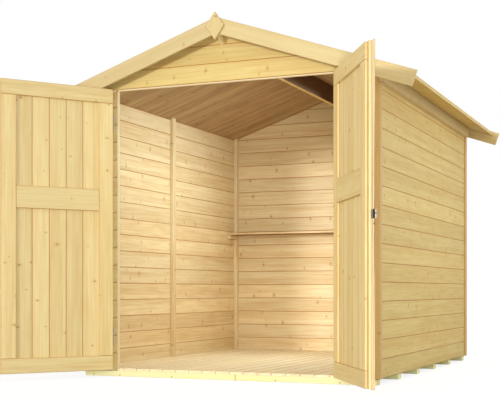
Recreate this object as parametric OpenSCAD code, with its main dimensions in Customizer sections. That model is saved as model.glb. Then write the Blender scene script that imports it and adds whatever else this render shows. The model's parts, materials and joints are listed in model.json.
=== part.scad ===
// Apex garden shed in tongue-and-groove boards, with a pair of framed double doors.
// Millimetres. +Z is up, +Y runs from the doors to the rear wall, +X is to the right
// of a person who faces the doors. The origin is under the middle of the front bearer.

/* [Walls] */
// Width of the shed over its side boards
shed_w = 2000; // [1600:10:3000]
// Depth of the shed over its front and rear boards
shed_d = 2450; // [1800:10:3600]
// Thickness of the wall boards
board_t = 12; // [10:0.5:22]
// Face width that one wall board covers
board_cover = 113.5; // [90:0.5:140]
// Number of boards up a side wall
side_boards = 16; // [15:1:19]
// Height of the boards' lower edge above the ground
wall_base = 38; // [37:1:50]

/* [Floor] */
// Height of a floor bearer
bearer_h = 36; // [28:1:36]
// Width of a floor bearer, laid flat
bearer_w = 72; // [40:1:120]
// Number of floor bearers
bearer_count = 6; // [6:1:6]
// Thickness of the floor boards
floor_t = 16; // [12:0.5:22]

/* [Frame] */
// Depth of the studs and posts, measured from the boards into the room
stud_t = 27; // [22:1:50]
// Face width of the studs and posts
stud_w = 45; // [35:1:70]
// Height of the header beam over the doorway
header_h = 60; // [40:1:66]
// Distance that the header shows below the gable boards
header_drop = 6; // [2:1:10]
// Thickness of the trims that cover the corners
trim_t = 12; // [8:1:20]
// Width of each leg of a corner trim
trim_w = 45; // [30:1:70]

/* [Roof] */
// Slope of the roof
roof_pitch = 18.8; // [15:0.1:30]
// Thickness of the roof boards
roof_t = 22; // [12:1:28]
// Distance that the roof edge stands out from a side wall, measured level
eaves_out = 196; // [100:1:300]
// Distance from the gable boards to the outer face of a bargeboard
gable_out = 100; // [70:1:200]
// Thickness of the bargeboards
barge_t = 18; // [12:1:28]
// Depth of the bargeboards, square to the slope
barge_depth = 96; // [70:1:100]
// Distance that a bargeboard stands above the roof boards
barge_rise = 10; // [0:1:30]
// Distance that a bargeboard runs past the roof edge, along the slope
barge_tail = 60; // [10:1:120]
// Thickness of the ridge beam
ridge_w = 36; // [28:1:60]
// Level of the ridge beam's underside below the point of the ceiling
ridge_drop = 147; // [122:1:180]
// Level of the beam's underside where it passes through a gable, below the same point
nose_drop = 116; // [90:1:120]
// Slope of the cut under the beam's ends, outside the gables
nose_slope = 42; // [35:1:45]
// Thickness of the rail under the eaves
eaves_rail_t = 30; // [18:1:45]
// Depth of the rail under the eaves, at its outer face
eaves_rail_h = 74; // [40:1:110]
// Thickness of the lath along the roof edge
lath_t = 8; // [5:1:15]
// Height of that lath, square to the slope
lath_h = 9; // [6:1:20]
// Width of the diamond on the gable's point
finial_w = 122; // [80:1:180]
// Height of the diamond on the gable's point
finial_h = 174; // [110:1:240]
// Distance of the diamond's centre below the bargeboards' point
finial_drop = 58; // [30:1:80]

/* [Shelf] */
// Thickness of the shelf board
shelf_t = 17; // [12:1:28]
// Depth of the shelf board
shelf_depth = 180; // [100:1:400]
// Height of the shelf's top above the floor
shelf_height = 993; // [400:1:1400]
// Height of the blocks that carry the shelf
cleat_h = 36; // [25:1:60]

/* [Doors] */
// Clear width between the edges of the boards beside the doorway
doorway_w = 1502; // [1200:1:1560]
// Distance that a closed door laps over the boards beside the doorway
door_lap = 14; // [8:1:40]
// Gap between the edges of the two closed doors
door_gap = 6; // [5:0.5:12]
// Distance from the doorway's head to the top of the doors
door_head_gap = 1; // [1:1:30]
// Height of the doors' lower edge above the ground
door_base = 46; // [42:1:70]
// Thickness of the boards in the doors
door_board_t = 12; // [10:0.5:22]
// Thickness of the doors' stiles and rails
door_frame_t = 15; // [12:0.5:28]
// Width of the doors' stiles
stile_w = 95; // [60:1:120]
// Height of the doors' top and bottom rails
rail_h = 93; // [60:1:140]
// Height of the doors' middle rail
mid_rail_h = 139; // [80:1:200]
// Height of the middle rail's centre above the ground
mid_rail_z = 1132; // [700:1:1300]
// Distance that the boards of a door stand out past its frame, on the meeting side
frame_inset = 29; // [4:1:40]
// Angle that the left door stands open
left_open = 126.5; // [0:0.1:126.5]
// Angle that the right door stands open
right_open = 121.3; // [0:0.1:126.5]

/* [Cover strip and lock] */
// Width of the strip that covers the joint between the doors
strip_w = 60; // [50:1:90]
// Distance that the strip reaches past the joint's middle, over the left door
strip_lap = 20; // [14:1:24]
// Thickness of that strip
strip_t = 16; // [14:1:28]
// Distance that the strip runs past each end of the door
strip_over = 3; // [0:1:10]
// Height of the lock's centre above the ground
lock_z = 951; // [800:1:1200]
// Height of the lock case, which is let into the strip's free edge
lock_case_h = 46; // [30:1:80]
// Depth of the lock case from the strip's free edge
lock_case_w = 22; // [10:1:26]
// Thickness of the wood between the lock case and the face of the strip
lock_cover_t = 4; // [3:0.5:6]
// Height of the lock's plate
lock_plate_h = 42; // [25:1:80]
// Width of the lock's plate
lock_plate_w = 24; // [15:1:28]
// Thickness of the lock's plate
lock_plate_t = 6; // [2:0.5:8]

/* [Hinges] */
// Radius of a hinge pin
pin_r = 3.5; // [2.5:0.1:3.8]
// Radius of the eye around a pin
eye_r = 5.6; // [5:0.1:5.9]
// Distance from the face of a closed door to the centre of the pins
pin_out = 6; // [6:0.5:9]
// Running gap between a pin and its eye
pin_gap = 0.08; // [0.05:0.01:0.1]
// Thickness of the hinge straps and plates
strap_t = 3; // [2:0.5:3]
// Width of a strap at its eye
strap_w = 40; // [28:1:60]
// Width of a strap at its far end
strap_tip_w = 22; // [14:1:27]
// Length of a strap from its pin
strap_l = 420; // [250:5:600]
// Height of a hinge plate on the wall
plate_h = 110; // [70:1:150]
// Width of a hinge plate on the wall
plate_w = 50; // [35:1:70]
// Height of the lower hinges above the door's lower edge
low_hinge = 210; // [150:5:350]
// Distance of the upper hinges below the door's top
high_hinge = 210; // [150:5:350]

/* [Hidden] */
$fn = 48;

// Colours
pine = [0.89, 0.78, 0.52];
pine_side = [0.84, 0.74, 0.48];
pine_inside = [0.80, 0.68, 0.46];
treated = [0.86, 0.86, 0.55];
zinc = [0.72, 0.73, 0.75];
black_steel = [0.10, 0.10, 0.11];

// Levels and half sizes that follow from the sizes above
half_w = shed_w / 2;
slope = tan(roof_pitch);
floor_top = bearer_h + floor_t;
wall_top = wall_base + side_boards * board_cover;
ceiling_point = wall_top + slope * half_w;
roof_point = ceiling_point + roof_t / cos(roof_pitch);
barge_point = roof_point + barge_rise / cos(roof_pitch);
nose_low = ceiling_point - nose_drop;
roof_edge_x = half_w + eaves_out;
barge_l = roof_edge_x / cos(roof_pitch) + barge_tail;
room_half = half_w - board_t;
jamb_x = doorway_w / 2;
head_z = wall_top - header_drop;

// The doors: a pin line outside each jamb, in front of the closed door's face
edge_gap = door_gap / 2;
face_gap = 5;
hinge_side_gap = 3.6;
leaf_edge = jamb_x + door_lap;
pin_x = leaf_edge + hinge_side_gap;
door_inner_y = -face_gap;
door_face_y = door_inner_y - door_frame_t - door_board_t;
pin_y = door_face_y - pin_out;
door_top = head_z - door_head_gap;
door_h = door_top - door_base;
low_hinge_z = door_base + low_hinge;
high_hinge_z = door_top - high_hinge;

// Small fits: a seat under a hinge's eye, its smaller radius, the laths' clearance,
// and the distance that a cutting shape runs past what it cuts
seat_gap = 0.3;
seat_step = 0.2;
lath_gap = 0.1;
cut_over = 1;

// Level of the ceiling above a point at distance x from the middle
function under_roof(x) = ceiling_point - slope * abs(x);

// Moves a child so that the origin lies under the middle of the front bearer
module datum() {
    translate([0, -bearer_w / 2, 0]) children();
}

// Extrudes an outline drawn in X and Z from y0 to y1
module along_y(y0, y1) {
    translate([0, y1, 0]) rotate([90, 0, 0]) linear_extrude(y1 - y0) children();
}

// Draws a child on the right as it is, or mirrored to the left
module side(s) {
    if (s > 0) children();
    else mirror([1, 0, 0]) children();
}

// A box from one corner to the other
module block(low, high) {
    translate(low) cube(high - low);
}

// ---- Floor ----

module bearer(i) {
    step = (shed_d - bearer_w) / (bearer_count - 1);
    color(treated) datum() block([-room_half, i * step, 0], [room_half, i * step + bearer_w, bearer_h]);
}

module floor_boards() {
    color(pine_inside) datum()
        block([-room_half, board_t, bearer_h], [room_half, shed_d - board_t, floor_top]);
}

// ---- Walls ----

module side_wall(s) {
    color(pine_side) datum() side(s) along_y(board_t, shed_d - board_t)
        polygon([
            [room_half, wall_base], [half_w, wall_base],
            [half_w, under_roof(half_w)], [room_half, under_roof(room_half)]
        ]);
}

// The upper part of a gable wall above a level, notched for the ridge beam
module gable_outline(low) {
    beam = ridge_w / 2;
    polygon([
        [-half_w, low], [half_w, low], [half_w, under_roof(half_w)],
        [beam, under_roof(beam)], [beam, nose_low],
        [-beam, nose_low], [-beam, under_roof(beam)],
        [-half_w, under_roof(half_w)]
    ]);
}

module rear_wall() {
    color(pine) datum() along_y(shed_d - board_t, shed_d) gable_outline(wall_base);
}

module front_gable() {
    color(pine) datum() along_y(0, board_t)
        difference() {
            gable_outline(wall_base);
            translate([-half_w - cut_over, wall_base - cut_over])
                square([shed_w + 2 * cut_over, wall_top - wall_base + cut_over]);
        }
}

module front_wall(s) {
    color(pine) datum() side(s) block([jamb_x, 0, wall_base], [half_w, board_t, wall_top]);
}

// ---- Frame ----

module side_studs(s) {
    inner = room_half - stud_t;
    starts = [board_t, (shed_d - stud_w) / 2, shed_d - board_t - stud_w];
    color(pine_inside) datum() side(s)
        for (y = starts) along_y(y, y + stud_w)
            polygon([
                [inner, floor_top], [room_half, floor_top],
                [room_half, under_roof(room_half)], [inner, under_roof(inner)]
            ]);
}

module door_post(s) {
    color(pine) datum() side(s)
        block([jamb_x, board_t, floor_top], [jamb_x + stud_w, board_t + stud_t, head_z]);
}

module door_header() {
    reach = jamb_x + stud_w;
    color(pine) datum()
        block([-reach, board_t, head_z], [reach, board_t + stud_t, head_z + header_h]);
}

// A corner trim: a side leg up to the eaves rail and a face leg up to the roof
module trim_front(s) {
    rail_low = under_roof(half_w + eaves_rail_t) - eaves_rail_h;
    inner = half_w - trim_w + trim_t;
    outer = half_w + trim_t;
    color(pine) datum() side(s) {
        block([half_w, -trim_t, wall_base], [outer, trim_w - trim_t, rail_low]);
        along_y(-trim_t, 0)
            polygon([
                [inner, wall_base], [half_w, wall_base],
                [half_w, under_roof(half_w)], [inner, under_roof(inner)]
            ]);
    }
}

module trim_rear(s) {
    datum() translate([0, shed_d, 0]) mirror([0, 1, 0]) translate([0, bearer_w / 2, 0]) trim_front(s);
}

// ---- Roof ----

module roof_side(s) {
    top_x = roof_edge_x + roof_t * sin(roof_pitch);
    color(pine_side) datum() side(s) along_y(barge_t - gable_out, shed_d + gable_out - barge_t)
        polygon([
            [0, ceiling_point], [0, roof_point],
            [top_x, roof_point - slope * top_x], [roof_edge_x, under_roof(roof_edge_x)]
        ]);
}

module eaves_lath(s) {
    down = [cos(roof_pitch), -sin(roof_pitch)];
    up = [sin(roof_pitch), cos(roof_pitch)];
    edge = [roof_edge_x, under_roof(roof_edge_x)] + lath_gap * down;
    color(pine) datum() side(s) along_y(barge_t - gable_out, shed_d + gable_out - barge_t)
        polygon([
            edge, edge + lath_t * down, edge + lath_t * down + lath_h * up, edge + lath_h * up
        ]);
}

// The beam is deep inside the room and thinner through the gables, where it ends in a slope
module ridge_beam() {
    beam = ridge_w / 2;
    low = ceiling_point - ridge_drop;
    color(pine_inside) datum() difference() {
        along_y(barge_t - gable_out, shed_d + gable_out - barge_t)
            polygon([
                [-beam, low], [beam, low], [beam, under_roof(beam)],
                [0, ceiling_point], [-beam, under_roof(beam)]
            ]);
        beam_cut(beam, low);
        translate([0, shed_d, 0]) mirror([0, 1, 0]) beam_cut(beam, low);
    }
}

module beam_cut(beam, low) {
    reach = gable_out - barge_t + cut_over;
    translate([-beam - cut_over, 0, 0]) rotate([90, 0, 90]) linear_extrude(ridge_w + 2 * cut_over)
        polygon([
            [board_t, low - cut_over], [board_t, nose_low], [0, nose_low],
            [-reach, nose_low + reach * tan(nose_slope)], [-reach, low - cut_over]
        ]);
}

module eaves_rail(s) {
    outer = half_w + eaves_rail_t;
    low = under_roof(outer) - eaves_rail_h;
    color(pine_side) datum() side(s) along_y(0, shed_d)
        polygon([
            [half_w, low], [outer, low], [outer, under_roof(outer)], [half_w, under_roof(half_w)]
        ]);
}

module bargeboard(s, y0) {
    end_x = barge_l * cos(roof_pitch);
    end_z = barge_point - barge_l * sin(roof_pitch);
    color(pine) datum() side(s) along_y(y0, y0 + barge_t)
        polygon([
            [0, barge_point], [end_x, end_z],
            [end_x - barge_depth * sin(roof_pitch), end_z - barge_depth * cos(roof_pitch)],
            [0, barge_point - barge_depth / cos(roof_pitch)]
        ]);
}

module finial() {
    color(pine) datum() translate([0, 0, barge_point - finial_drop])
        along_y(-gable_out - barge_t, -gable_out)
        polygon([[0, -finial_h / 2], [finial_w / 2, 0], [0, finial_h / 2], [-finial_w / 2, 0]]);
}

// ---- Shelf ----

shelf_top = floor_top + shelf_height;
shelf_back = shed_d - board_t;
shelf_front = shelf_back - shelf_depth;
post_front = shelf_back - stud_w;
post_inner = room_half - stud_t;

module shelf_board() {
    color(pine_inside) datum() translate([0, 0, shelf_top - shelf_t]) linear_extrude(shelf_t)
        polygon([
            [-room_half, shelf_front], [room_half, shelf_front], [room_half, post_front],
            [post_inner, post_front], [post_inner, shelf_back], [-post_inner, shelf_back],
            [-post_inner, post_front], [-room_half, post_front]
        ]);
}

module shelf_cleats() {
    low = shelf_top - shelf_t - cleat_h;
    color(pine) datum() for (s = [-1, 1]) side(s)
        block([post_inner, shelf_front, low], [room_half, post_front, shelf_top - shelf_t]);
}

// ---- Doors ----

// Turns a closed door, drawn for the right side, about its pins to where it stands open
module opened(s) {
    angle = s > 0 ? right_open : left_open;
    datum() side(s) translate([pin_x, pin_y, 0]) rotate([0, 0, angle]) translate([-pin_x, -pin_y, 0])
        children();
}

module door_boards(s) {
    color(pine) opened(s)
        block([edge_gap, door_face_y, door_base], [leaf_edge, door_face_y + door_board_t, door_top]);
}

frame_low = [edge_gap + frame_inset, door_base];
frame_high = [leaf_edge, door_top];
frame_y = door_face_y + door_board_t;

// One piece of a door's frame, from corner a to corner b across and up the door
module frame_piece(a, b) {
    block([a[0], frame_y, a[1]], [b[0], door_inner_y, b[1]]);
}

module door_rails(s) {
    low = frame_low;
    high = frame_high;
    color(pine) opened(s) {
        frame_piece(low, [high[0], low[1] + rail_h]);
        frame_piece([low[0], high[1] - rail_h], high);
        frame_piece(
            [low[0] + stile_w, mid_rail_z - mid_rail_h / 2],
            [high[0] - stile_w, mid_rail_z + mid_rail_h / 2]
        );
    }
}

module door_stiles(s) {
    low = frame_low + [0, rail_h];
    high = frame_high - [0, rail_h];
    color(pine) opened(s) {
        frame_piece(low, [low[0] + stile_w, high[1]]);
        frame_piece([high[0] - stile_w, low[1]], high);
    }
}

// ---- Hinges: a plate with an upright pin on the wall, a strap with an eye on the door ----

module strap(z) {
    plate_y = door_face_y - strap_t;
    translate([0, 0, z]) difference() {
        union() {
            translate([pin_x, pin_y, -strap_w / 2]) cylinder(r = eye_r, h = strap_w);
            block([pin_x - eye_r, plate_y, -strap_w / 2], [pin_x, plate_y + strap_t, strap_w / 2]);
            along_y(plate_y, plate_y + strap_t)
                polygon([
                    [pin_x - eye_r, -strap_w / 2], [pin_x - eye_r, strap_w / 2],
                    [pin_x - strap_l, strap_tip_w / 2], [pin_x - strap_l, -strap_tip_w / 2]
                ]);
        }
        translate([pin_x, pin_y, -strap_w / 2 - cut_over])
            cylinder(r = pin_r + pin_gap, h = strap_w + 2 * cut_over);
    }
}

module door_straps(s) {
    color(zinc) opened(s) for (z = [low_hinge_z, high_hinge_z]) strap(z);
}

module wall_plate(z) {
    arm_top = z - strap_w / 2 - seat_gap;
    arm_low = z - plate_h / 2;
    arm_x = pin_x + eye_r;
    block([arm_x, -strap_t, arm_low], [arm_x + plate_w, 0, arm_low + plate_h]);
    block([arm_x, pin_y - pin_r, arm_low], [arm_x + strap_t, 0, arm_top]);
    block([pin_x, pin_y - pin_r, arm_low], [arm_x + strap_t, pin_y + pin_r, arm_top]);
    translate([pin_x, pin_y, arm_low]) cylinder(r = eye_r - seat_step, h = arm_top - arm_low);
    translate([pin_x, pin_y, arm_low]) cylinder(r = pin_r, h = plate_h / 2 + strap_w / 2 + cut_over);
}

module hinge_plates() {
    color(zinc) datum() for (s = [-1, 1]) side(s)
        for (z = [low_hinge_z, high_hinge_z]) wall_plate(z);
}

// ---- Cover strip and lock on the right door ----

strip_face_y = door_face_y - strip_t;
strip_back_y = door_face_y - face_gap;
strip_edge = -strip_lap;
strip_far = strip_w - strip_lap;

module door_cover_strip() {
    color(pine) opened(1) difference() {
        translate([0, 0, door_base - strip_over]) linear_extrude(door_h + 2 * strip_over)
            polygon([
                [strip_edge, strip_face_y], [strip_far, strip_face_y], [strip_far, door_face_y],
                [edge_gap, door_face_y], [edge_gap, strip_back_y], [strip_edge, strip_back_y]
            ]);
        block(
            [strip_edge - cut_over, strip_face_y + lock_cover_t, lock_z - lock_case_h / 2],
            [strip_edge + lock_case_w, strip_back_y + cut_over, lock_z + lock_case_h / 2]
        );
    }
}

module lock_case() {
    color(black_steel) opened(1) block(
        [strip_edge, strip_face_y + lock_cover_t, lock_z - lock_case_h / 2],
        [strip_edge + lock_case_w, strip_back_y, lock_z + lock_case_h / 2]
    );
}

module lock_plate() {
    middle = strip_edge + lock_plate_w / 2;
    color(zinc) opened(1) block(
        [middle - lock_plate_w / 2, strip_face_y - lock_plate_t, lock_z - lock_plate_h / 2],
        [middle + lock_plate_w / 2, strip_face_y, lock_z + lock_plate_h / 2]
    );
}

bearer(0);  // bearer_1
bearer(1);  // bearer_2
bearer(2);  // bearer_3
bearer(3);  // bearer_4
bearer(4);  // bearer_5
bearer(5);  // bearer_6
floor_boards();
side_wall(-1);  // left_wall
side_wall(1);  // right_wall
rear_wall();
front_wall(-1);  // front_wall_left
front_wall(1);  // front_wall_right
front_gable();
side_studs(-1);  // left_studs
side_studs(1);  // right_studs
door_post(-1);  // door_post_left
door_post(1);  // door_post_right
door_header();
trim_front(-1);  // corner_trim_front_left
trim_front(1);  // corner_trim_front_right
trim_rear(-1);  // corner_trim_rear_left
trim_rear(1);  // corner_trim_rear_right
roof_side(-1);  // roof_left
roof_side(1);  // roof_right
eaves_lath(-1);  // eaves_lath_left
eaves_lath(1);  // eaves_lath_right
ridge_beam();
eaves_rail(-1);  // eaves_rail_left
eaves_rail(1);  // eaves_rail_right
bargeboard(-1, -gable_out);  // bargeboard_front_left
bargeboard(1, -gable_out);  // bargeboard_front_right
bargeboard(-1, shed_d + gable_out - barge_t);  // bargeboard_rear_left
bargeboard(1, shed_d + gable_out - barge_t);  // bargeboard_rear_right
finial();
shelf_board();
shelf_cleats();
hinge_plates();
door_boards(-1);  // left_door_boards
door_stiles(-1);  // left_door_stiles
door_rails(-1);  // left_door_rails
door_straps(-1);  // left_door_straps
door_boards(1);  // right_door_boards
door_stiles(1);  // right_door_stiles
door_rails(1);  // right_door_rails
door_straps(1);  // right_door_straps
door_cover_strip();
lock_case();
lock_plate();
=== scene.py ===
"""Looks of a tongue-and-groove garden shed: boards, battens, nails, hinges, lock and its stage."""

import json
import math
import random
import zlib

import bmesh
import bpy
from bpy.props import FloatProperty, FloatVectorProperty, IntProperty, PointerProperty
from mathutils import Matrix, Vector


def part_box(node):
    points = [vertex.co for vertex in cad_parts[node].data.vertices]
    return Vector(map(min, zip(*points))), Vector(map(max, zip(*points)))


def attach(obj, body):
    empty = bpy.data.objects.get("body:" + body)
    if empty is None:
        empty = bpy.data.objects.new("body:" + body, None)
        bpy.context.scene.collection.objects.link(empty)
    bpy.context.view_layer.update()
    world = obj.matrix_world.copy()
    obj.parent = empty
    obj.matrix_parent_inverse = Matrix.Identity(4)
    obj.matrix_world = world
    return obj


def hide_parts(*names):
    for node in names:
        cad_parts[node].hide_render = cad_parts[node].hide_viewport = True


bl_info = {
    "name": "Garden shed dressing",
    "version": (1, 0, 0),
    "blender": (4, 5, 0),
    "location": "View3D > Sidebar > Shed",
    "description": "Dresses a boarded garden shed with boards, battens, fixings and finishes",
    "category": "Object",
}

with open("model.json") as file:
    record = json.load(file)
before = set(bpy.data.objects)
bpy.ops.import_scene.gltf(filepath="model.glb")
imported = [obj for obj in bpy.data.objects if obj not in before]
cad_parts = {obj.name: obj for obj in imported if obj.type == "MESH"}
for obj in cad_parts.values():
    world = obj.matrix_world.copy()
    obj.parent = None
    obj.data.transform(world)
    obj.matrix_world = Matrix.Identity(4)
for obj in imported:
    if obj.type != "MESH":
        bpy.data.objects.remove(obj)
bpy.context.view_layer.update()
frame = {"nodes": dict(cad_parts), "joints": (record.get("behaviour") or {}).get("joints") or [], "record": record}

X, Y, Z = Vector((1, 0, 0)), Vector((0, 1, 0)), Vector((0, 0, 1))
RECORD = frame["record"]
SLOT_OF = {s["node"]: s["material_slot"] for s in RECORD["subparts"]}
BODY_OF = {n: body for body, nodes in RECORD["behaviour"]["bodies"].items() for n in nodes}
HINGES = {j["child"]: j for j in frame["joints"]}

# Points this close are one point, and faces this nearly level with each other are one face
WELD, LEVEL = 1e-5, math.radians(0.5)
# How far boards run past the outline that cuts them, and the share of a board that counts as none
OVERHANG, SNAP = 0.01, 1e-4
# How squarely a face looks along a way to count as facing it, and the least turn of a planed edge
FACING, LEAST_TURN = 0.6, math.radians(8)
# How far the grain of a board may start at random along, across and through it
GRAIN_REACH = (9, 3, 3)


def colour(code):
    """An sRGB hex colour as linear RGBA."""
    parts = [int(code[i : i + 2], 16) / 255 for i in (1, 3, 5)]
    return (*(c / 12.92 if c <= 0.04045 else ((c + 0.055) / 1.055) ** 2.4 for c in parts), 1.0)


# ---- What a user may change ----


class ShedBoards(bpy.types.PropertyGroup):
    wall_cover: FloatProperty(
        name="Wall board cover",
        description="Face width that one wall or roof board covers",
        default=0.1135,
        unit="LENGTH",
    )
    floor_cover: FloatProperty(
        name="Floor board cover",
        description="Face width that one floor board covers",
        default=0.0935,
        unit="LENGTH",
    )
    door_boards: IntProperty(
        name="Door boards",
        description="Boards that show between the stiles of a door",
        default=5,
        min=3,
        max=9,
    )
    groove: FloatProperty(
        name="Groove",
        description="Width of the chamfer on each edge of a board",
        default=0.0023,
        unit="LENGTH",
    )
    arris: FloatProperty(
        name="Arris",
        description="Width of the planed-off edge on battens, stiles and rails",
        default=0.0025,
        unit="LENGTH",
    )
    seed: IntProperty(name="Seed", description="Start of the random choice of boards", default=7)


class ShedFixings(bpy.types.PropertyGroup):
    nail_radius: FloatProperty(
        name="Nail radius", description="Radius of a nail head", default=0.0028, unit="LENGTH"
    )
    screw_radius: FloatProperty(
        name="Screw radius", description="Radius of a hinge screw's head", default=0.0042, unit="LENGTH"
    )


class ShedColours(bpy.types.PropertyGroup):
    pine: FloatVectorProperty(
        name="Pine",
        description="Pale wood between the growth rings",
        default=colour("#F0DCA2"),
        size=4,
        subtype="COLOR",
    )
    pine_ring: FloatVectorProperty(
        name="Pine rings",
        description="Darker wood of the growth rings",
        default=colour("#DEC07E"),
        size=4,
        subtype="COLOR",
    )
    knot: FloatVectorProperty(
        name="Knots", description="Wood of the knots", default=colour("#A87540"), size=4, subtype="COLOR"
    )
    groove: FloatVectorProperty(
        name="Grooves",
        description="Shade that gathers between the boards",
        default=colour("#BE8040"),
        size=4,
        subtype="COLOR",
    )
    treated: FloatVectorProperty(
        name="Treated pine",
        description="Pressure-treated wood of the bearers",
        default=colour("#EEE5B2"),
        size=4,
        subtype="COLOR",
    )
    zinc: FloatVectorProperty(
        name="Zinc",
        description="Zinc plate of the hinges",
        default=colour("#C9CCD0"),
        size=4,
        subtype="COLOR",
    )


# ---- Node helpers ----


def add(tree, kind, inputs=(), **settings):
    """Adds a node with its settings and fills its inputs, given in their order or by key. A socket
    is linked, a node is linked by its first output, and so is each one in a list. Any other value
    is set."""
    made = tree.nodes.new(kind)
    for name, value in settings.items():
        setattr(made, name, value)
    for key, value in inputs.items() if isinstance(inputs, dict) else enumerate(inputs):
        for one in value if isinstance(value, list) else [value]:
            if isinstance(one, bpy.types.Node):
                one = one.outputs[0]
            if isinstance(one, bpy.types.NodeSocket):
                tree.links.new(one, made.inputs[key])
            else:
                made.inputs[key].default_value = one
    return made


def new_geometry_tree(name, sizes):
    """A Geometry Nodes tree with a geometry input and output and the named inputs given."""
    tree = bpy.data.node_groups.new(name, "GeometryNodeTree")
    tree.interface.new_socket("Geometry", in_out="INPUT", socket_type="NodeSocketGeometry")
    for label, kind in sizes:
        tree.interface.new_socket(label, in_out="INPUT", socket_type="NodeSocket" + kind)
    tree.interface.new_socket("Geometry", in_out="OUTPUT", socket_type="NodeSocketGeometry")
    return tree, add(tree, "NodeGroupInput").outputs


def run_tree(tree, base, values, name):
    """Runs a Geometry Nodes tree on a mesh and returns the result as a plain mesh."""
    holder = bpy.data.objects.new(name, base)
    bpy.context.scene.collection.objects.link(holder)
    modifier = holder.modifiers.new("Make", "NODES")
    modifier.node_group = tree
    for item in tree.interface.items_tree:
        if item.in_out == "INPUT" and item.name in values:
            modifier[item.identifier] = values[item.name]
    graph = bpy.context.evaluated_depsgraph_get()
    made = bpy.data.meshes.new_from_object(holder.evaluated_get(graph))
    holder.modifiers.remove(modifier)
    bpy.data.objects.remove(holder)
    made.name = name
    return made


# ---- Where things are ----


def opened(body):
    """The matrix that takes a closed door to where it stands open. It leaves the shed itself alone."""
    if body not in HINGES:
        return Matrix.Identity(4)
    hinge = HINGES[body]
    pin = Matrix.Translation(Vector(hinge["pos_m"]))
    turn = Matrix.Rotation(-math.radians(hinge["range_deg"][1]), 4, Vector(hinge["axis"]))
    return pin @ turn @ pin.inverted()


def closed_points(node):
    """The points of a CAD node's mesh with its door shut."""
    back = opened(BODY_OF[node]).inverted()
    return [back @ v.co for v in frame["nodes"][node].data.vertices]


def closed_box(node):
    """The two far corners of a CAD node with its door shut."""
    points = closed_points(node)
    return [Vector(pick(p[i] for p in points) for i in range(3)) for pick in (min, max)]


def merged_copy(node):
    """A copy of a CAD node's mesh, with its loose triangles joined into whole faces."""
    shape = bmesh.new()
    shape.from_mesh(frame["nodes"][node].data)
    bmesh.ops.remove_doubles(shape, verts=shape.verts, dist=WELD)
    bmesh.ops.dissolve_limit(shape, angle_limit=LEVEL, verts=shape.verts, edges=shape.edges)
    return shape


def axes(along, across):
    """The matrix whose columns are the run of a board, its width and its outward face."""
    run, width = along.normalized(), across.normalized()
    out = run.cross(width)
    return Matrix((run, width, out)).transposed().to_4x4()


def finish_piece(name, mesh, node, material=None):
    """Puts a finished mesh into the scene in place of the CAD node whose body it rides on."""
    piece = bpy.data.objects.new(name, mesh)
    bpy.context.scene.collection.objects.link(piece)
    if material:
        mesh.materials.append(material)
    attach(piece, BODY_OF[node])
    return piece


# ---- Materials ----


def new_material(name):
    """An empty material and its node tree."""
    material = bpy.data.materials.new(name)
    material.use_nodes = True
    material.node_tree.nodes.clear()
    return material, material.node_tree


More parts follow.
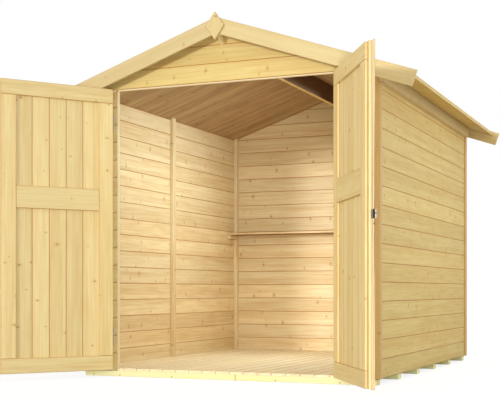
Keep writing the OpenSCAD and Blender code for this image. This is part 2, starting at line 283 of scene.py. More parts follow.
def softwood(name, pale, ring, inner=None, knots=0.4, within=None):
    """Planed softwood. It gives pale wood in long soft streaks along each board, darker growth lines about 7.5 mm
    apart, and small red-brown knots that the lines bend round. The inner side may have its own pair of tones: bare
    wood on the walls' inner face, painted shade on the roof's room side, the shelf and the ridge beam, and painted
    light on the cover strip's rear. It keeps to them within a distance in metres to the left and right of the
    middle."""
    colours = bpy.context.scene.shed_colours
    ring_pitch = 0.0075
    # Cells per metre along and across a board, what brings a step in a cell back to metres, and the
    # radius of the least knot with what the largest has more
    knot_cells, knot_cell_size = (5.0, 11.0, 0.0), (0.2, 0.055, 0.0)
    knot_least, knot_spread = 0.0015, 0.0045
    material, tree = new_material(name)
    grain = add(tree, "ShaderNodeAttribute", attribute_name="grain").outputs["Vector"]
    tone = add(tree, "ShaderNodeAttribute", attribute_name="tone").outputs["Fac"]
    joint = add(tree, "ShaderNodeAttribute", attribute_name="joint").outputs["Fac"]
    if inner:
        turned = add(tree, "ShaderNodeAttribute", attribute_name="inner").outputs["Fac"]
        if within:
            place = add(tree, "ShaderNodeTexCoord").outputs["Object"]
            aside = add(tree, "ShaderNodeSeparateXYZ", (place,)).outputs["X"]
            aside = add(tree, "ShaderNodeMath", (aside,), operation="ABSOLUTE")
            room = add(tree, "ShaderNodeMath", (aside, within), operation="LESS_THAN")
            turned = add(tree, "ShaderNodeMath", (turned, room), operation="MULTIPLY")
        pale, ring = (
            add(tree, "ShaderNodeMix", {0: turned, 6: outer, 7: own}, data_type="RGBA").outputs[2]
            for outer, own in zip((pale, ring), inner)
        )

    # Knots: one cell each 200 mm by 90 mm, of which a share holds a knot, wider across the grain
    point = add(tree, "ShaderNodeVectorMath", (grain, knot_cells), operation="MULTIPLY")
    cells = add(tree, "ShaderNodeTexVoronoi", {"Vector": point, "Scale": 1.0})
    away = add(tree, "ShaderNodeVectorMath", (point, cells.outputs["Position"]), operation="SUBTRACT")
    away = add(tree, "ShaderNodeVectorMath", (away, knot_cell_size), operation="MULTIPLY")
    away = add(tree, "ShaderNodeVectorMath", (away,), operation="LENGTH").outputs["Value"]
    lot = add(tree, "ShaderNodeSeparateColor", (cells.outputs["Color"],)).outputs
    held = add(tree, "ShaderNodeMath", (lot[0], knots), operation="LESS_THAN")
    radius = add(tree, "ShaderNodeMath", (lot[1], knot_spread, knot_least), operation="MULTIPLY_ADD")
    near = add(tree, "ShaderNodeMath", (away, radius), operation="DIVIDE")
    core = add(tree, "ShaderNodeMapRange", (near, 1.3, 0.5, 0.0, 0.8))
    core = add(tree, "ShaderNodeMath", (core, held), operation="MULTIPLY")
    halo = add(tree, "ShaderNodeMapRange", (near, 4.0, 1.0, 0.0, 1.0))
    halo = add(tree, "ShaderNodeMath", (halo, held), operation="MULTIPLY")

    # Four noises, each with its waves per metre along, across and through the board
    noises = []
    for scale, detail in (
        ((0.9, 5.0, 4.0), 2.0),
        ((3.0, 110.0, 80.0), 3.0),
        ((0.35, 14.0, 3.0), 1.0),
        ((5.0, 22.0, 10.0), 2.0),
    ):
        spot = add(tree, "ShaderNodeVectorMath", (grain, scale), operation="MULTIPLY")
        noises.append(add(tree, "ShaderNodeTexNoise", {"Vector": spot, "Scale": 1.0, "Detail": detail}))
    wander, streak, heart, cloud = noises

    # Growth lines: a field across the board that wanders along it and swells round each knot
    _, field, depth = add(tree, "ShaderNodeSeparateXYZ", (grain,)).outputs
    for part, share in ((wander, 0.10), (halo, 0.008), (depth, 0.6)):
        field = add(tree, "ShaderNodeMath", (part, share, field), operation="MULTIPLY_ADD")
    rings = add(tree, "ShaderNodeMath", (field, 2 * math.pi / ring_pitch), operation="MULTIPLY")
    rings = add(tree, "ShaderNodeMath", (rings,), operation="SINE")
    rings = add(tree, "ShaderNodeMapRange", (rings, -0.2, 1.0))
    streak = add(tree, "ShaderNodeMapRange", (streak, 0.38, 0.68))
    heart = add(tree, "ShaderNodeMapRange", (heart, 0.46, 0.54))
    cloud = add(tree, "ShaderNodeMapRange", (cloud, 0.3, 0.7))

    # How far each mark takes the pale wood towards the tone of the growth lines
    mark = 0.0
    for part, share in ((rings, 0.26), (streak, 0.40), (heart, 0.26), (cloud, 0.24), (halo, 0.4)):
        mark = add(tree, "ShaderNodeMath", (part, share, mark), operation="MULTIPLY_ADD")
    wood = add(tree, "ShaderNodeMix", {0: mark, 6: pale, 7: ring}, data_type="RGBA").outputs[2]
    wood = add(tree, "ShaderNodeMix", {0: core, 6: wood, 7: colours.knot}, data_type="RGBA").outputs[2]
    level = add(tree, "ShaderNodeMapRange", (tone, 0.0, 1.0, 0.94, 1.04))
    wood = add(tree, "ShaderNodeVectorMath", {0: wood, "Scale": level}, operation="SCALE")
    # The grooves and the planed edges take the groove colour as painted shade
    wood = add(tree, "ShaderNodeMix", {0: joint, 6: wood, 7: colours.groove}, data_type="RGBA")
    height = add(tree, "ShaderNodeMath", (rings, 0.5, streak), operation="MULTIPLY_ADD")
    bump = add(tree, "ShaderNodeBump", {"Strength": 0.25, "Distance": 0.0006, "Height": height})
    shader = add(
        tree,
        "ShaderNodeBsdfPrincipled",
        {"Base Color": wood.outputs[2], "Roughness": 0.6, "Normal": bump},
    )
    add(tree, "ShaderNodeOutputMaterial", (shader,))
    return material


def zinc_plate():
    """Zinc-plated sheet steel: bright grey with soft cloudy spangle and a slight sheen."""
    material, tree = new_material("Zinc-plated steel")
    place = add(tree, "ShaderNodeTexCoord").outputs["Object"]
    cells = add(tree, "ShaderNodeTexVoronoi", {"Vector": place, "Scale": 180.0})
    rough = add(tree, "ShaderNodeMapRange", (cells.outputs["Distance"], 0.0, 0.8, 0.45, 0.6))
    zinc = bpy.context.scene.shed_colours.zinc
    shader = add(
        tree,
        "ShaderNodeBsdfPrincipled",
        {"Base Color": zinc, "Metallic": 1.0, "Roughness": rough},
    )
    add(tree, "ShaderNodeOutputMaterial", (shader,))
    return material


def black_enamel():
    """Black enamel on steel: near black, with a soft gloss and a fine orange-peel surface."""
    material, tree = new_material("Black enamel")
    place = add(tree, "ShaderNodeTexCoord").outputs["Object"]
    peel = add(tree, "ShaderNodeTexNoise", {"Vector": place, "Scale": 900.0})
    bump = add(tree, "ShaderNodeBump", {"Strength": 0.1, "Distance": 0.0002, "Height": peel})
    shader = add(
        tree,
        "ShaderNodeBsdfPrincipled",
        {"Base Color": colour("#08080A"), "Roughness": 0.5, "Normal": bump},
    )
    add(tree, "ShaderNodeOutputMaterial", (shader,))
    return material


def nail_iron():
    """Nail heads that the dip has stained: dull brown, with a little speckle."""
    material, tree = new_material("Stained nail heads")
    place = add(tree, "ShaderNodeTexCoord").outputs["Object"]
    spot = add(tree, "ShaderNodeTexNoise", {"Vector": place, "Scale": 700.0})
    pale, dark = colour("#8E6C3C"), colour("#6F5430")
    brown = add(tree, "ShaderNodeMix", {0: spot, 6: pale, 7: dark}, data_type="RGBA").outputs[2]
    shader = add(tree, "ShaderNodeBsdfPrincipled", {"Base Color": brown, "Roughness": 0.6})
    add(tree, "ShaderNodeOutputMaterial", (shader,))
    return material


MATERIALS = {}


def tones(pale, ring):
    """The pale wood of a finish and its growth rings, from two hex colours."""
    return colour(pale), colour(ring)


def finish_of(name):
    """The finish for one of the record's material slots, or one of the finishes beside them."""
    colours = bpy.context.scene.shed_colours
    # Outside, the dip turns the wood honey yellow, deepest on the walls; the narrow front walls beside the door
    # opening are painted paler, as painted light
    pine = (tuple(colours.pine), tuple(colours.pine_ring))
    wall = tones("#E5CE85", "#D2AE5E")
    batten = tones("#DBC68F", "#CFB478")
    # Painted shade: the corner trims take a warmer, deeper copy of the batten wood
    corner = tones("#E5C380", "#D5B06E")
    doorway_painted_light = tones("#F6E09C", "#E8CA80")
    # Inside, the wood is bare and creamy, palest on the floor; the door posts, the header and the cover strip's
    # rear are painted paler still, as painted light
    room = tones("#F4E2B8", "#DAB780")
    strip_rear_painted_light = tones("#F6EAC8", "#ECDCB0")
    door_frame_painted_light = tones("#FFF2CC", "#F8E6B6")
    laid = tones("#FAEBC8", "#E9D0A0")
    # Painted shade: brown tones for the roof boards' room side and the shelf's lower faces, and the deepest brown
    # for the ridge beam's sides
    ceiling_painted_shade = tones("#C6AA7E", "#8C6A4A")
    shelf_painted_shade = tones("#A07850", "#87623E")
    dark = tones("#6C4C32", "#573C26")
    # The treatment leaves the front bearer straw-coloured; the ones set back from it are pale yellow-green painted
    # near white, as painted light in the shade of the walls
    treated = (tuple(colours.treated), colour("#ECE69C"))
    tint_and_painted_light = tones("#FFFFC2", "#F6F2A8")
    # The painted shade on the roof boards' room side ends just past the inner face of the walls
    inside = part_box("right_wall")[0].x + 0.002
    makers = {
        "wall_timber": lambda: softwood("Dipped pine boards", *wall, room),
        "roof": lambda: softwood("Dipped pine roof with painted shade", *wall, ceiling_painted_shade, knots=0.35, within=inside),
        "door_timber": lambda: softwood("Dipped pine door", *pine, knots=0.3),
        "trim_timber": lambda: softwood("Dipped pine battens", *batten, knots=0.25),
        "corner": lambda: softwood("Dipped pine corners with painted shade", *corner, knots=0.25),
        "strip": lambda: softwood("Dipped pine strip with painted light", *pine, strip_rear_painted_light, knots=0.1),
        "front": lambda: softwood("Dipped pine doorway with painted light", *doorway_painted_light, room),
        "bearers": lambda: softwood("Treated pine bearers with painted light", *tint_and_painted_light, knots=0.2),
        "shelf": lambda: softwood("Planed pine shelf with painted shade", *room, shelf_painted_shade),
        "inner_timber": lambda: softwood("Planed pine", *room),
        "floor": lambda: softwood("Planed pine floor", *laid, knots=0.35),
        "beam": lambda: softwood("Pine beam with painted shade", *pine, dark),
        "door_frame_painted_light": lambda: softwood("Pine with painted light", *door_frame_painted_light, knots=0.1),
        "treated_timber": lambda: softwood("Treated pine", *treated, knots=0.2),
        "galvanised_steel": zinc_plate,
        "black_steel": black_enamel,
        "nails": nail_iron,
    }
    if name not in MATERIALS:
        MATERIALS[name] = makers[name]()
    return MATERIALS[name]


# ---- Boards ----


def boarding_tree():
    """Boards with chamfered edges side by side, cut to the outline that comes in."""
    tree, given = new_geometry_tree(
        "Boarding",
        [
            ("Boards", "Int"),
            ("Cover", "Float"),
            ("First edge", "Float"),
            ("Start", "Float"),
            ("End", "Float"),
            ("Thickness", "Float"),
            ("Groove", "Float"),
            ("Seed", "Int"),
            ("Timber", "Material"),
        ],
    )
    cover, first, groove, thick = (given[n] for n in ("Cover", "First edge", "Groove", "Thickness"))
    section = add(tree, "GeometryNodeCurvePrimitiveQuadrilateral", {"Width": cover, "Height": thick})
    section = add(
        tree,
        "GeometryNodeFilletCurve",
        {"Curve": section, "Count": 1, "Radius": groove},
        mode="POLY",
    )
    half = add(tree, "ShaderNodeMath", (thick, 0.5), operation="MULTIPLY")
    start = add(tree, "ShaderNodeCombineXYZ", {0: given["Start"], 2: half})
    end = add(tree, "ShaderNodeCombineXYZ", {0: given["End"], 2: half})
    run = add(tree, "GeometryNodeCurvePrimitiveLine", {"Start": start, "End": end})
    board = add(
        tree,
        "GeometryNodeCurveToMesh",
        {"Curve": run, "Profile Curve": section, "Fill Caps": True},
    )
    middle = add(tree, "ShaderNodeMath", (cover, 0.5, first), operation="MULTIPLY_ADD")
    middle = add(tree, "ShaderNodeCombineXYZ", {1: middle})
    step = add(tree, "ShaderNodeCombineXYZ", {1: cover})
    places = add(
        tree,
        "GeometryNodeMeshLine",
        {"Count": given["Boards"], "Start Location": middle, "Offset": step},
    )
    boards = add(tree, "GeometryNodeInstanceOnPoints", {"Points": places, "Instance": board})
    boards = add(tree, "GeometryNodeRealizeInstances", (boards,))
    # The outline is made thicker, so that only its edges cut the boards
    drop = add(tree, "ShaderNodeMath", (thick, -1.0), operation="MULTIPLY")
    drop = add(tree, "ShaderNodeCombineXYZ", {2: drop})
    outline = add(
        tree,
        "GeometryNodeTransform",
        {"Geometry": given["Geometry"], "Translation": drop, "Scale": (1, 1, 3)},
    )
    made = add(
        tree,
        "GeometryNodeMeshBoolean",
        {"Mesh 2": [boards, outline]},
        operation="INTERSECT",
        solver="MANIFOLD",
    )
    # Which board a face belongs to, and whether it lies at a joint, within most of a groove's width
    joint_reach = 0.9
    place = add(tree, "GeometryNodeInputPosition")
    centre = add(tree, "GeometryNodeFieldOnDomain", (place,), data_type="FLOAT_VECTOR", domain="FACE")
    rise = add(tree, "ShaderNodeSeparateXYZ", (centre,)).outputs["Y"]
    count = add(tree, "ShaderNodeMath", (rise, first), operation="SUBTRACT")
    count = add(tree, "ShaderNodeMath", (count, cover), operation="DIVIDE")
    index = add(tree, "ShaderNodeMath", (count,), operation="FLOOR")
    nearest = add(tree, "ShaderNodeMath", (count,), operation="ROUND")
    off = add(tree, "ShaderNodeMath", (count, nearest), operation="SUBTRACT")
    off = add(tree, "ShaderNodeMath", (off,), operation="ABSOLUTE")
    off = add(tree, "ShaderNodeMath", (off, cover), operation="MULTIPLY")
    within = add(tree, "ShaderNodeMath", (groove, joint_reach), operation="MULTIPLY")
    joint = add(tree, "ShaderNodeMath", (off, within), operation="LESS_THAN")
    # Where its grain starts, and its own share of light and dark
    lot = add(
        tree,
        "FunctionNodeRandomValue",
        {"Min": (0, 0, 0), "Max": GRAIN_REACH, "ID": index, "Seed": given["Seed"]},
        data_type="FLOAT_VECTOR",
    )
    own = add(tree, "ShaderNodeMath", (index, cover, first), operation="MULTIPLY_ADD")
    own = add(tree, "ShaderNodeCombineXYZ", {1: own})
    grain = add(tree, "ShaderNodeVectorMath", (place, own), operation="SUBTRACT")
    grain = add(tree, "ShaderNodeVectorMath", (grain, lot), operation="ADD")
    tone = add(tree, "FunctionNodeRandomValue", {"ID": index, "Seed": given["Seed"]}, data_type="FLOAT")
    # Whether it is an inner face or a sawn end: bare undipped wood on the walls, painted shade on the roof's room
    # side
    normal = add(tree, "GeometryNodeInputNormal")
    run_way, _, face_way = add(tree, "ShaderNodeSeparateXYZ", (normal,)).outputs
    ends = add(tree, "ShaderNodeMath", (run_way,), operation="ABSOLUTE")
    ends = add(tree, "ShaderNodeMath", (ends, FACING), operation="GREATER_THAN")
    inner = add(tree, "ShaderNodeMath", (face_way, -FACING), operation="LESS_THAN")
    inner = add(tree, "ShaderNodeMath", (inner, ends), operation="MAXIMUM")
    for label, kind, domain, value in (
        ("grain", "FLOAT_VECTOR", "CORNER", grain),
        ("tone", "FLOAT", "FACE", tone.outputs[1]),
        ("joint", "FLOAT", "FACE", joint),
        ("inner", "FLOAT", "FACE", inner),
    ):
        made = add(
            tree,
            "GeometryNodeStoreNamedAttribute",
            {"Geometry": made, "Name": label, "Value": value},
            data_type=kind,
            domain=domain,
        )
    made = add(tree, "GeometryNodeSetShadeSmooth", {"Geometry": made, "Shade Smooth": False})
    made = add(tree, "GeometryNodeRealizeInstances", (made,))
    made = add(tree, "GeometryNodeSetMaterial", {"Geometry": made, "Material": given["Timber"]})
    add(tree, "NodeGroupOutput", (made,))
    return tree


TREES = {}


def board_over(name, node, along, across, cover, first=None, material=None, groove=None):
    """Replaces a CAD slab by boards that run along one way and lie side by side across the other."""
    boards = bpy.context.scene.shed_boards
    if "boarding" not in TREES:
        TREES["boarding"] = boarding_tree()
    out_of = opened(BODY_OF[node])
    place = axes(along, across)
    shape = merged_copy(node)
    shape.transform(place.inverted() @ out_of.inverted())
    low = [min(v.co[i] for v in shape.verts) for i in range(3)]
    high = [max(v.co[i] for v in shape.verts) for i in range(3)]
    for vert in shape.verts:
        vert.co.z -= low[2]
    base = bpy.data.meshes.new(name + "_outline")
    shape.to_mesh(base)
    shape.free()
    start = low[1] if first is None else first
    values = {
        "Boards": math.ceil((high[1] - start) / cover - SNAP),
        "Cover": cover,
        "First edge": start,
        "Start": low[0] - OVERHANG,
        "End": high[0] + OVERHANG,
        "Thickness": high[2] - low[2],
        "Groove": groove or boards.groove,
        "Seed": boards.seed + zlib.crc32(name.encode()) % 1000,
        "Timber": material or finish_of(SLOT_OF[node]),
    }
    mesh = run_tree(TREES["boarding"], base, values, name)
    mesh.transform(out_of @ place @ Matrix.Translation((0, 0, low[2])))
    piece = finish_piece(name, mesh, node)
    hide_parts(node)


# ---- Battens, stiles, rails and beams ----


def grain_on(shape, along, across, name):
    """Gives each loose solid of a shape its own stretch of grain, along the way that it runs."""
    place = axes(along, across).inverted()
    grain = shape.loops.layers.float_vector.new("grain")
    tone = shape.faces.layers.float.new("tone")
    shape.faces.layers.float.new("joint")
    rng = random.Random(zlib.crc32(name.encode()))
    unseen = set(shape.faces)
    for first in sorted(unseen, key=lambda f: f.index):
        if first not in unseen:
            continue
        solid, rim = [], [first]
        unseen.discard(first)
        while rim:
            face = rim.pop()
            solid.append(face)
            near = {f for line in face.edges for f in line.link_faces} & unseen
            unseen -= near
            rim += near
        shift = Vector([rng.uniform(0, reach) for reach in GRAIN_REACH])
        level = rng.random()
        for face in solid:
            face[tone] = level
            for loop in face.loops:
                loop[grain] = place @ loop.vert.co + shift


def dress(name, node, along, across, arris=None, material=None, line=0.15, painted_shading_sides=(), room=None):
    """Replaces a CAD batten or beam by the same shape with planed-off edges and its own grain. The planed edges
    take a share of the groove colour as painted shade lines. Sides that face one of the given painted ways take
    the material's inner tones, painted shade on the beam and shelf and painted light on the cover strip, and where
    the room's two ends are given, only between them."""
    out_of = opened(BODY_OF[node])
    shape = merged_copy(node)
    shape.transform(out_of.inverted())
    shape.normal_update()
    for y in room or ():
        parts = [*shape.verts, *shape.edges, *shape.faces]
        bmesh.ops.bisect_plane(shape, geom=parts, plane_co=(0, y, 0), plane_no=Y)
    width = bpy.context.scene.shed_boards.arris if arris is None else arris
    sharp = [e for e in shape.edges if e.is_manifold and e.calc_face_angle() > LEAST_TURN]
    cut = bmesh.ops.bevel(shape, geom=sharp, offset=width, segments=1, affect="EDGES", clamp_overlap=True)
    shape.faces.index_update()
    edges = {face.index for face in cut["faces"]}
    grain_on(shape, along, across, name)
    joint = shape.faces.layers.float["joint"]
    inner = shape.faces.layers.float.new("inner")
    shape.faces.ensure_lookup_table()
    for face in shape.faces:
        face[joint] = line if face.index in edges else 0.0
        inside = room is None or room[0] < face.calc_center_median().y < room[1]
        face[inner] = float(inside and any(face.normal.dot(way) > FACING for way in painted_shading_sides))
    shape.transform(out_of)
    mesh = bpy.data.meshes.new(name)
    shape.to_mesh(mesh)
    shape.free()
    piece = finish_piece(name, mesh, node, material or finish_of(SLOT_OF[node]))
    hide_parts(node)


def slope_of(node):
    """The direction down the slope of a bargeboard or roof side, away from the ridge."""
    low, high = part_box(node)
    points = [v.co for v in frame["nodes"][node].data.vertices]
    side = 1 if high.x + low.x > 0 else -1
    top = max(points, key=lambda p: round(p.z, 5))
    end = max(points, key=lambda p: (round(side * p.x, 5), p.z))
    way = end - top
    return Vector((way.x, 0, way.z)).normalized()


class SHED_OT_walls(bpy.types.Operator):
    """Boards the four walls with level tongue-and-groove boards"""

    bl_idname = "shed.walls"
    bl_label = "Wall boards"

    def execute(self, context):
        cover = context.scene.shed_boards.wall_cover
        base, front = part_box("right_wall")[0].z, finish_of("front")
        for node, along in (
            ("left_wall", -Y),
            ("right_wall", Y),
            ("rear_wall", -X),
            ("front_wall_left", X),
            ("front_wall_right", X),
            ("front_gable", X),
        ):
            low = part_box(node)[0].z
            first = base + math.floor((low - base) / cover + SNAP) * cover
            # Painted light: the narrow front walls beside the doors take paler tones
            material = front if "front_wall" in node else None
            board_over(node + "_boards", node, along, Z, cover, first, material)
        return {"FINISHED"}


class SHED_OT_roof(bpy.types.Operator):
    """Boards the two roof sides from the eaves to the ridge"""

    bl_idname = "shed.roof"
    bl_label = "Roof boards"

    def execute(self, context):
        cover = context.scene.shed_boards.wall_cover
        down = slope_of("bargeboard_front_right")
        board_over("roof_right_boards", "roof_right", down, Y, cover, material=finish_of("roof"))
        up = Vector((down.x, 0, -down.z))
        board_over("roof_left_boards", "roof_left", up, Y, cover, material=finish_of("roof"))
        return {"FINISHED"}


class SHED_OT_floor(bpy.types.Operator):
    """Lays the floor boards from front to back and dresses the bearers under them"""

    bl_idname = "shed.floor"
    bl_label = "Floor and bearers"

    def execute(self, context):
        cover, chamfer, bearer_arris = context.scene.shed_boards.floor_cover, 0.0035, 0.002
        board_over("floor_boarding", "floor_boards", -Y, X, cover, None, finish_of("floor"), chamfer)
        for node in frame["nodes"]:
            if node.startswith("bearer_"):
                # Painted light: the bearers set back from the front one take near-white tones
                wood = finish_of("treated_timber" if node == "bearer_1" else "bearers")
                dress(node.replace("bearer", "bearer_timber"), node, X, Y, bearer_arris, wood)
        return {"FINISHED"}


class SHED_OT_timbers(bpy.types.Operator):
    """Dresses the posts, studs, trims, rails, beams, bargeboards, diamond and shelf"""

    bl_idname = "shed.timbers"
    bl_label = "Posts, trims and beams"

    def execute(self, context):
        # Painted light: the door posts and header take very pale tones and no edge lines; the eaves rails take
        # painted shade lines along their edges
        door_frame_painted_light, trim = {"material": finish_of("door_frame_painted_light"), "line": 0.0}, {"line": 0.5}
        # Painted shade: the corner trims take the warmer, deeper copy and painted shade lines along their edges
        corner = {"material": finish_of("corner"), "line": 0.5}
        # Painted shade: the shelf's lower faces take brown tones
        shelf = {"material": finish_of("shelf"), "painted_shading_sides": (-Z,)}
        # The room's two ends, drawn in a little so that no cut falls on a step of the beam
        room = [end.y + inset for end, inset in zip(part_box("floor_boards"), (0.006, -0.006))]
        for node, along, across, more in (
            ("left_studs", Z, Y, {}),
            ("right_studs", Z, Y, {}),
            ("door_post_left", Z, X, door_frame_painted_light),
            ("door_post_right", Z, X, door_frame_painted_light),
            ("door_header", X, Z, door_frame_painted_light),
            ("corner_trim_front_left", Z, X, corner),
            ("corner_trim_front_right", Z, X, corner),
            ("corner_trim_rear_left", Z, X, corner),
            ("corner_trim_rear_right", Z, X, corner),
            # Painted shade: the ridge beam's sides within the room take very brown tones
            ("ridge_beam", Y, Z, {"material": finish_of("beam"), "painted_shading_sides": (X, -X), "room": room}),
            ("eaves_rail_left", Y, Z, trim),
            ("eaves_rail_right", Y, Z, trim),
            ("eaves_lath_left", Y, Z, {"material": finish_of("strip")}),
            ("eaves_lath_right", Y, Z, {"material": finish_of("strip")}),
            ("shelf_board", X, Y, shelf),
            ("shelf_cleats", Y, Z, shelf),
            ("finial", Z, X, {}),
        ):
            dress(node + "_timber", node, along, across, **more)
        for node in frame["nodes"]:
            if node.startswith("bargeboard_"):
                down = slope_of(node)
                dress(node + "_timber", node, down, down.cross(Y))
        return {"FINISHED"}


class SHED_OT_doors(bpy.types.Operator):
    """Boards the two doors and dresses their stiles, rails and cover strip"""

    bl_idname = "shed.doors"
    bl_label = "Doors"

    def execute(self, context):
        # The boards fill the gap between the stiles, and these hide a little of the outer two
        count, hidden = context.scene.shed_boards.door_boards, 0.01
        for door in ("left_door", "right_door"):
            across = sorted(-p.x for p in closed_points(door + "_stiles"))
            wide, start = max((b - a, a) for a, b in zip(across, across[1:]))
            cover = (wide + hidden) / count
            board_over(door + "_boarding", door + "_boards", Z, -X, cover, start - hidden / 2 - cover)
            # Painted shade lines along the stiles' and rails' planed edges
            dress(door + "_stile_timber", door + "_stiles", Z, X, line=0.7)
            dress(door + "_rail_timber", door + "_rails", X, Z, line=0.7)
        strip = finish_of("strip")
        # Painted light: the strip's rear, towards the room when shut, takes very pale tones; its edges take
        # painted shade lines
        dress("door_cover_strip_timber", "door_cover_strip", Z, X, material=strip, line=0.5, painted_shading_sides=(Y,))
        return {"FINISHED"}


# ---- Metalwork ----


def fixings_tree():
    """A domed round head at each point, standing out along one direction."""
    tree, given = new_geometry_tree(
        "Fixings",
        [("Radius", "Float"), ("Height", "Float"), ("Direction", "Vector"), ("Metal", "Material")],
    )
    radius, height = given["Radius"], given["Height"]
    sides, crown_share = 12, 0.55
    body = add(tree, "GeometryNodeMeshCylinder", {"Vertices": sides, "Radius": radius, "Depth": height})
    crown = add(tree, "ShaderNodeMath", (radius, crown_share), operation="MULTIPLY")
    dome = add(
        tree,
        "GeometryNodeMeshCone",
        {"Vertices": sides, "Radius Bottom": radius, "Radius Top": crown, "Depth": height},
    )
    lift = add(tree, "ShaderNodeMath", (height, 0.5), operation="MULTIPLY")
    lift = add(tree, "ShaderNodeCombineXYZ", {2: lift})
    dome = add(tree, "GeometryNodeTransform", {"Geometry": dome, "Translation": lift})
    head = add(tree, "GeometryNodeJoinGeometry", {0: [dome, body]})
    turn = add(tree, "FunctionNodeAlignRotationToVector", {"Vector": given["Direction"]}, axis="Z")
    made = add(
        tree,
        "GeometryNodeInstanceOnPoints",
        {"Points": given["Geometry"], "Instance": head, "Rotation": turn},
    )
    made = add(tree, "GeometryNodeRealizeInstances", (made,))
    made = add(tree, "GeometryNodeSetMaterial", {"Geometry": made, "Material": given["Metal"]})
    add(tree, "NodeGroupOutput", (made,))
    return tree


def fix(name, groups, radius, height, node, metal):
    """Puts heads at groups of points, each group given as (direction, points), on the body of a node."""
    if "fixings" not in TREES:
        TREES["fixings"] = fixings_tree()
    out_of = opened(BODY_OF[node])
    whole = bmesh.new()
    for direction, points in groups:
        base = bpy.data.meshes.new(name + "_points")
        base.from_pydata([tuple(p) for p in points], [], [])
        values = {"Radius": radius, "Height": height, "Direction": direction, "Metal": finish_of(metal)}
        whole.from_mesh(run_tree(TREES["fixings"], base, values, name + "_part"))
    mesh = bpy.data.meshes.new(name)
    whole.to_mesh(mesh)
    whole.free()
    mesh.transform(out_of)
    piece = bpy.data.objects.new(name, mesh)
    bpy.context.scene.collection.objects.link(piece)
    mesh.materials.append(finish_of(metal))
    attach(piece, BODY_OF[node])


def block(name, low, high, node, slot):
    """A small square-cut piece between two corners of the closed position, on the body of a node."""
    size = [b - a for a, b in zip(low, high)]
    middle = Vector(low) + Vector(size) / 2
    shape = bmesh.new()
    place = Matrix.Translation(middle) @ Matrix.Diagonal((*size, 1.0))
    bmesh.ops.create_cube(shape, size=1.0, matrix=opened(BODY_OF[node]) @ place)
    mesh = bpy.data.meshes.new(name)
    shape.to_mesh(mesh)
    shape.free()
    mesh.materials.append(finish_of(slot))
    piece = bpy.data.objects.new(name, mesh)
    bpy.context.scene.collection.objects.link(piece)
    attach(piece, BODY_OF[node])


# How far a nail head stands out, and where the two nails are in the width of a wall board
NAIL_STAND, NAIL_PARTS = 0.0006, (0.25, 0.75)
# How far each upright row of nails is from the corner or edge that it runs beside
STUD_INSET, REAR_INSET, POST_NEAR, POST_FAR = 0.045, 0.05, 0.0065, 0.175
# How far nails are above a joint of the boards and the sill's lower edge, and below the floor's top
SEAM_RISE, SILL_RISE, FLOOR_DROP = 0.008, 0.009, 0.007
# Where the sill's nails are across the front, and the radius of its nails and of the floor's
SILL_NAILS = (-0.924, -0.729, -0.352, 0.352, 0.764)
SILL_RADIUS, FLOOR_RADIUS = 0.004, 0.003


class SHED_OT_nails(bpy.types.Operator):
    """Nails the wall boards to the studs and posts, and the sill and the floor's front edge"""

    bl_idname = "shed.nails"
    bl_label = "Nails"

    def execute(self, context):
        boards, fixings = context.scene.shed_boards, context.scene.shed_fixings
        cover, base = boards.wall_cover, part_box("right_wall")[0].z
        courses = round((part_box("front_wall_left")[1].z - base) / cover)
        rows = [base + cover * (i + part) for i in range(courses) for part in NAIL_PARTS]
        seams = [base + cover * i + SEAM_RISE for i in range(courses)]
        low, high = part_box("right_wall")
        left_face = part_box("left_wall")[0].x
        depths = (low.y + STUD_INSET, (low.y + high.y) / 2, high.y - STUD_INSET)
        rear_low, rear_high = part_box("rear_wall")
        across = (rear_low.x + REAR_INSET, rear_high.x - REAR_INSET)
        sides = [
            (X, [(high.x, y, z) for y in depths for z in rows]),
            (-X, [(left_face, y, z) for y in depths for z in rows]),
            (Y, [(x, rear_high.y, z) for x in across for z in rows]),
        ]
        fix("wall_nails", sides, fixings.nail_radius, NAIL_STAND, "right_wall", "nails")
        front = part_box("front_wall_right")[0]
        near, far = front.x + POST_NEAR, front.x + POST_FAR
        spots = [(side * near, front.y, z) for side in (-1, 1) for z in seams]
        spots += [(side * far, front.y, z) for side in (-1, 1) for z in rows]
        fix("front_nails", [(-Y, spots)], fixings.nail_radius, NAIL_STAND, "front_wall_right", "nails")
        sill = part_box("bearer_1")[0]
        spots = [(x, sill.y, sill.z + SILL_RISE) for x in SILL_NAILS]
        fix("sill_nails", [(-Y, spots)], SILL_RADIUS, NAIL_STAND, "bearer_1", "nails")
        # One nail at each joint of the floor boards, in their front ends
        floor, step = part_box("floor_boards"), boards.floor_cover
        count, level = math.floor((floor[1].x - floor[0].x) / step), floor[1].z - FLOOR_DROP
        spots = [(floor[0].x + step * (i + 1), floor[0].y, level) for i in range(count)]
        fix("floor_nails", [(-Y, spots)], FLOOR_RADIUS, NAIL_STAND, "floor_boards", "nails")
        return {"FINISHED"}


# A black sheet that paints the shade in the lock's mouth: how thick it is, and how far it reaches onto the step
# beside the case
MOUTH_THICK, MOUTH_DEEP = 0.0012, 0.0045
# A black strip that paints the shade of the lock plate's slot: half its height, how far it is above the plate's
# middle and stands out
SLOT_HALF, SLOT_RISE, SLOT_STAND = 0.003, 0.003, 0.0004
# The hinge screws: how far they stand out, and their places along a strap from its free end
SCREW_STAND, SCREW_STEPS = 0.0015, (0.02, 0.12, 0.22, 0.32, 0.385)
# Half the width of a strap at its eye, and how near its free end its front face is measured
STRAP_HALF, STRAP_END = 0.02, 0.01


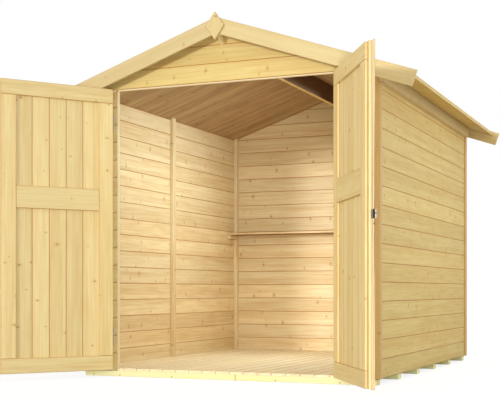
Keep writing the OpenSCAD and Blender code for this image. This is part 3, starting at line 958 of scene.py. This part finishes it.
class SHED_OT_metalwork(bpy.types.Operator):
    """Finishes the hinge straps, wall plates and lock, with their screws"""

    bl_idname = "shed.metalwork"
    bl_label = "Hinges and lock"

    def execute(self, context):
        radius = context.scene.shed_fixings.screw_radius
        for node in ("left_door_straps", "right_door_straps", "hinge_plates", "lock_plate", "lock_case"):
            part = frame["nodes"][node]
            part.data.materials.clear()
            part.data.materials.append(finish_of(SLOT_OF[node]))
        # Black sheets paint the shade of the lock's mouth, also on the step beside it, and of a slot that parts
        # its plate in two
        low, high = closed_box("lock_case")
        mouth = ((high.x, high.y, low.z), (high.x + MOUTH_THICK, high.y + MOUTH_DEEP, high.z))
        block("lock_mouth_painted_shade", *mouth, "lock_case", "black_steel")
        low, high = closed_box("lock_plate")
        level, out = (low.z + high.z) / 2 + SLOT_RISE, SLOT_STAND
        slot = ((low.x - out, low.y - out, level - SLOT_HALF), (high.x, high.y, level + SLOT_HALF))
        block("lock_slot_painted_shade", *slot, "lock_plate", "black_steel")
        for side in ("left", "right"):
            node = side + "_door_straps"
            points = closed_points(node)
            sign = -1 if side == "left" else 1
            tip = min(sign * p.x for p in points)
            levels = sorted({round(p.z, 3) for p in points})
            middles = (levels[0] + STRAP_HALF, levels[-1] - STRAP_HALF)
            front = min(p.y for p in points if sign * p.x < tip + STRAP_END)
            spots = [(sign * (tip + step), front, z) for z in middles for step in SCREW_STEPS]
            fix(side + "_strap_screws", [(-Y, spots)], radius, SCREW_STAND, node, SLOT_OF[node])
        return {"FINISHED"}


# ---- Stage ----

# The tint of the lamps in the room, and the strength of the even light from all round
COOL, AMBIENT = (0.84, 1, 1.05), 0.71
# The eye's place, how far it turns to its left in degrees, and its lens
EYE_PLACE, EYE_TURN = (2.7283, -5.9922, 0.5572), 23.12
SENSOR, FOCAL, SHIFT_UP = 36.0, 76.115, 0.18043
# Half the side of the stage's floor
FLOOR_REACH = 30


def panel(width, height, spread=180, tint=(1, 1, 1)):
    """The settings of a soft rectangular lamp, its spread given in degrees."""
    return {
        "shape": "RECTANGLE",
        "size": width,
        "size_y": height,
        "spread": math.radians(spread),
        "color": tint,
    }


# Name, kind, strength, place, aim and the rest of each lamp: a low panel and a narrow sun in
# front, a panel to the right, and three panels that light the room
LAMPS = (
    ("front right", "AREA", 72, (2.6, -4.5, 0.4), (-0.55, 1.0, 0.25), panel(0.9, 0.4)),
    ("front left", "SUN", 1.45, (-2, -6, 2), (0.15, 1.0, -0.06), {"angle": math.radians(8)}),
    ("right", "AREA", 30, (3.6, 1.45, 1.7), (-1, 0, 0), panel(2.5, 1.4)),
    ("room", "AREA", 7.0, (0, 0.9, 1.98), (0, 0, -1), panel(1.2, 1.8, 85, COOL)),
    ("room left", "AREA", 6.0, (0.2, 0.95, 1.85), (-1, 0, -0.5), panel(1.6, 0.5, 95, COOL)),
    ("room rear", "AREA", 4.0, (0.1, 0.2, 1.3), (0, 1, -0.35), panel(1.3, 0.1, 95, COOL)),
)


def studio_world():
    """Even light from all round. A ray from the eye, or a mirrored one, sees plain white instead."""
    world = bpy.data.worlds.new("Studio")
    world.use_nodes = True
    tree = world.node_tree
    tree.nodes.clear()
    path = add(tree, "ShaderNodeLightPath").outputs
    seen = path["Is Camera Ray"]
    for ray in ("Is Glossy Ray", "Is Transmission Ray"):
        seen = add(tree, "ShaderNodeMath", (seen, path[ray]), operation="MAXIMUM")
    dim = add(tree, "ShaderNodeBackground", {"Color": (1, 1, 1, 1), "Strength": AMBIENT})
    white = add(tree, "ShaderNodeBackground", {"Color": (1, 1, 1, 1), "Strength": 1.0})
    both = add(tree, "ShaderNodeMixShader", (seen, dim, white))
    add(tree, "ShaderNodeOutputWorld", (both,))
    return world


def studio_floor():
    """A floor that looks white with a faint shadow, and throws little light back at the object."""
    material, tree = new_material("White studio floor")
    seen = add(tree, "ShaderNodeLightPath").outputs["Is Camera Ray"]
    dim = add(tree, "ShaderNodeBsdfDiffuse", {"Color": (0.5, 0.5, 0.5, 1)})
    pale = add(tree, "ShaderNodeBsdfDiffuse", {"Color": (0.3, 0.3, 0.3, 1)})
    glow = add(tree, "ShaderNodeEmission", {"Color": (1, 1, 1, 1), "Strength": 0.8})
    shown = add(tree, "ShaderNodeAddShader", (pale, glow))
    both = add(tree, "ShaderNodeMixShader", (seen, dim, shown))
    add(tree, "ShaderNodeOutputMaterial", (both,))
    return material


class SHED_OT_stage(bpy.types.Operator):
    """Sets the floor, the lights, the world and the camera"""

    bl_idname = "shed.stage"
    bl_label = "Stage"

    def execute(self, context):
        scene = context.scene
        mesh = bpy.data.meshes.new("stage_floor")
        corners = [(x * FLOOR_REACH, y * FLOOR_REACH, 0) for x, y in ((-1, -1), (1, -1), (1, 1), (-1, 1))]
        mesh.from_pydata(corners, [], [(0, 1, 2, 3)])
        ground = bpy.data.objects.new("stage_floor", mesh)
        scene.collection.objects.link(ground)
        mesh.materials.append(studio_floor())
        scene.world = studio_world()
        for name, kind, energy, place, aim, settings in LAMPS:
            light = bpy.data.lights.new(name, kind)
            light.energy = energy
            for key, value in settings.items():
                setattr(light, key, value)
            lamp = bpy.data.objects.new(name, light)
            lamp.location = place
            lamp.rotation_euler = Vector(aim).to_track_quat("-Z", "Y").to_euler()
            lamp.visible_camera = False
            scene.collection.objects.link(lamp)

        lens = bpy.data.cameras.new("camera")
        lens.sensor_width = SENSOR
        lens.lens = FOCAL
        lens.shift_y = SHIFT_UP
        eye = bpy.data.objects.new("camera", lens)
        eye.location = EYE_PLACE
        eye.rotation_euler = (math.radians(90), 0, math.radians(EYE_TURN))
        scene.collection.objects.link(eye)
        scene.camera = eye
        scene.view_settings.view_transform = "Standard"
        return {"FINISHED"}


class SHED_PT_panel(bpy.types.Panel):
    """Lists the steps that dress the shed"""

    bl_idname = "SHED_PT_panel"
    bl_label = "Garden shed"
    bl_space_type = "VIEW_3D"
    bl_region_type = "UI"
    bl_category = "Shed"

    def draw(self, context):
        for group in (context.scene.shed_boards, context.scene.shed_fixings, context.scene.shed_colours):
            box = self.layout.box()
            for name in group.bl_rna.properties.keys():
                if name not in ("rna_type", "name"):
                    box.prop(group, name)
        for step in STEPS:
            self.layout.operator(step.bl_idname)


STEPS = (
    SHED_OT_walls,
    SHED_OT_roof,
    SHED_OT_floor,
    SHED_OT_timbers,
    SHED_OT_doors,
    SHED_OT_nails,
    SHED_OT_metalwork,
    SHED_OT_stage,
)
GROUPS = {"shed_boards": ShedBoards, "shed_fixings": ShedFixings, "shed_colours": ShedColours}


def register():
    for cls in (*GROUPS.values(), *STEPS, SHED_PT_panel):
        bpy.utils.register_class(cls)
    for name, cls in GROUPS.items():
        setattr(bpy.types.Scene, name, PointerProperty(type=cls))


def unregister():
    for name in GROUPS:
        delattr(bpy.types.Scene, name)
    for cls in reversed((*GROUPS.values(), *STEPS, SHED_PT_panel)):
        bpy.utils.unregister_class(cls)


def main():
    register()
    for step in STEPS:
        family, name = step.bl_idname.split(".")
        getattr(getattr(bpy.ops, family), name)()


if __name__ == "__main__":
    main()
